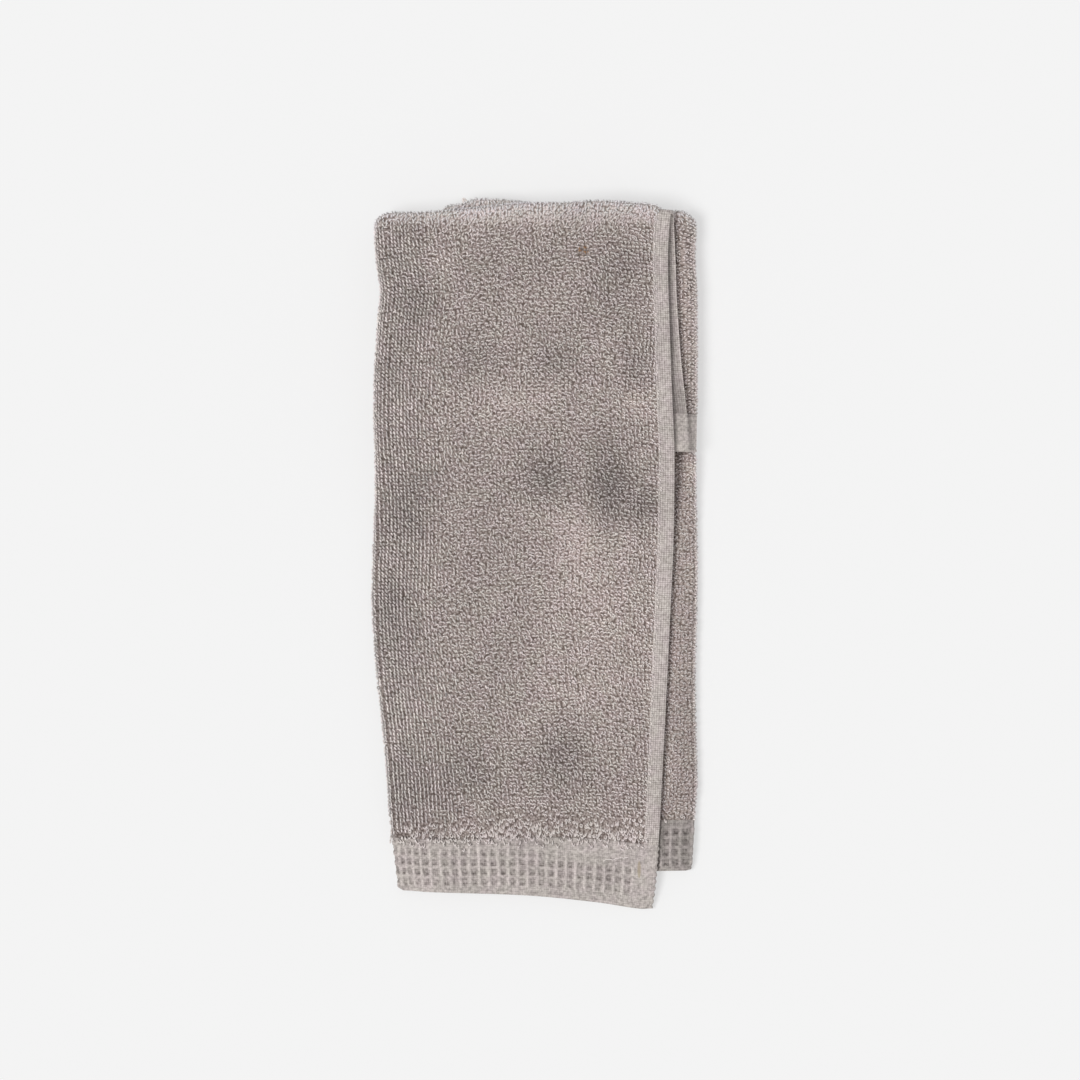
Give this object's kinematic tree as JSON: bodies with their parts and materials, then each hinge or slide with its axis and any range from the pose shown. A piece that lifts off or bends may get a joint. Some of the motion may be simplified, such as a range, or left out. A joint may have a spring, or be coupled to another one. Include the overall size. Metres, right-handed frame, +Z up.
{
  "type": "folded washcloth",
  "caption": "Grey-brown cotton terry washcloth with waffle-woven border bands, folded twice and lying flat.",
  "frame": {"origin": "under the middle of the folded cloth, on the surface that it rests on", "axes": "+Z up; +Y along the folded cloth, from the front hem to the top fold; +X towards the free selvedge"},
  "size_m": [0.1046, 0.2276, 0.017],
  "materials": {
    "terry": "matte"
  },
  "bodies": {
    "root": {"washcloth": "terry"}
  },
  "joints": []
}
